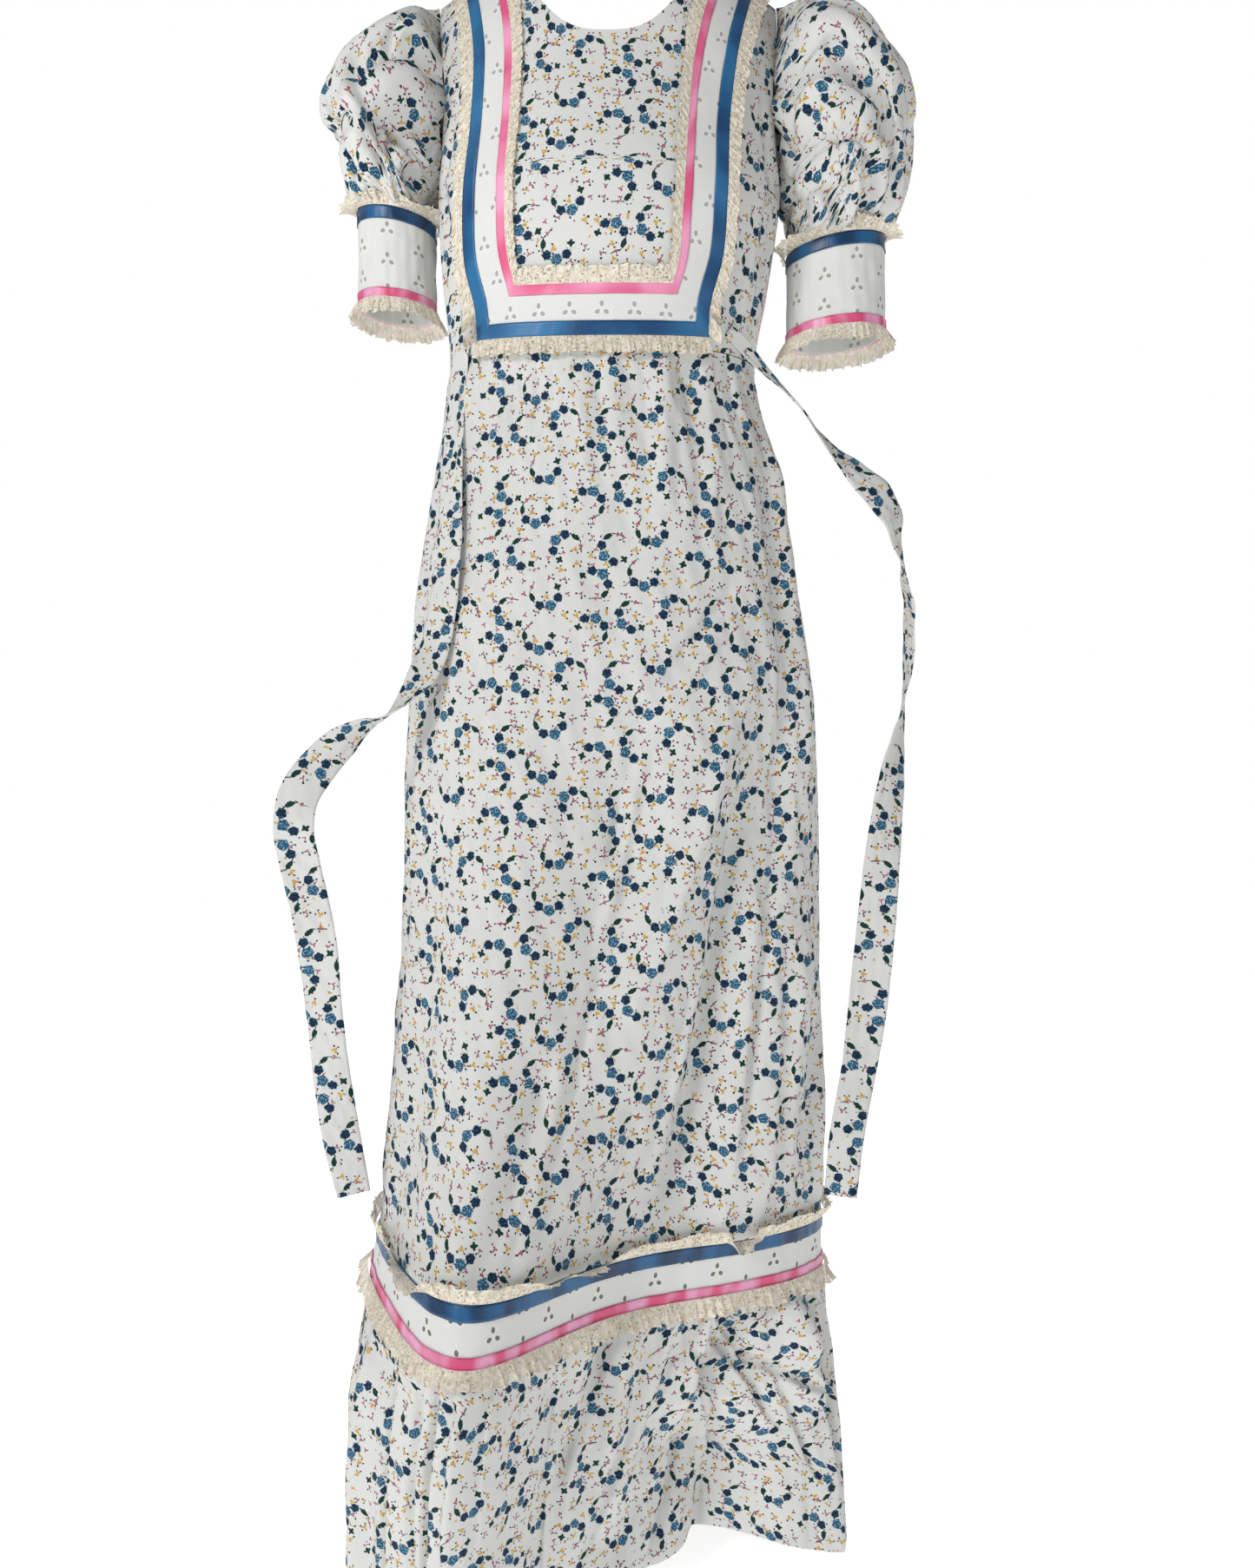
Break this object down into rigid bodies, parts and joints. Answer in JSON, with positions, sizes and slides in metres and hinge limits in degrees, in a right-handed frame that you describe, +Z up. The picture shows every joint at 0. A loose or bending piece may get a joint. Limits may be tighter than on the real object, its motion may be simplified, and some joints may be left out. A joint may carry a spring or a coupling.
{
  "type": "maxi dress",
  "caption": "Floor-length printed cotton dress, worn form: empire waist, puff sleeves with eyelet cuffs, ribbon and lace yoke, hem band, gathered flounce and long hanging ties.",
  "frame": {"origin": "midway between the two neck points of the shoulder seams, where the wearer's shoulders hold the dress up", "axes": "+Z up along the wearer, front faces -Y, +X to the right as seen from the front"},
  "size_m": [0.5355, 0.464, 1.409],
  "materials": {
    "print_cotton": "off-white cotton lawn with a small floral print",
    "eyelet_cotton": "white eyelet cotton",
    "blue_satin": "blue satin ribbon",
    "pink_satin": "pink satin ribbon",
    "ecru_lace": "gathered ecru cotton lace"
  },
  "bodies": {
    "root": {"bodice_front": "print_cotton", "bodice_back_l": "print_cotton", "bodice_back_r": "print_cotton", "yoke_band": "eyelet_cotton", "yoke_pink_ribbon": "pink_satin", "yoke_blue_ribbon": "blue_satin", "yoke_lace_inner": "ecru_lace", "yoke_lace_outer_l": "ecru_lace", "yoke_lace_outer_r": "ecru_lace", "empire_lace": "ecru_lace", "sleeve_l": "print_cotton", "sleeve_r": "print_cotton", "cuff_l": "eyelet_cotton", "cuff_r": "eyelet_cotton", "cuff_blue_ribbon_l": "blue_satin", "cuff_blue_ribbon_r": "blue_satin", "cuff_pink_ribbon_l": "pink_satin", "cuff_pink_ribbon_r": "pink_satin", "cuff_top_lace_l": "ecru_lace", "cuff_top_lace_r": "ecru_lace", "cuff_low_lace_l": "ecru_lace", "cuff_low_lace_r": "ecru_lace", "skirt_front": "print_cotton", "skirt_back": "print_cotton", "hem_band_front": "eyelet_cotton", "hem_band_back": "eyelet_cotton", "hem_blue_ribbon_front": "blue_satin", "hem_blue_ribbon_back": "blue_satin", "hem_pink_ribbon_front": "pink_satin", "hem_pink_ribbon_back": "pink_satin", "hem_top_lace_front": "ecru_lace", "hem_top_lace_back": "ecru_lace", "hem_low_lace_front": "ecru_lace", "hem_low_lace_back": "ecru_lace", "flounce_front": "print_cotton", "flounce_back": "print_cotton", "tie_l": "print_cotton", "tie_r": "print_cotton"}
  },
  "joints": []
}
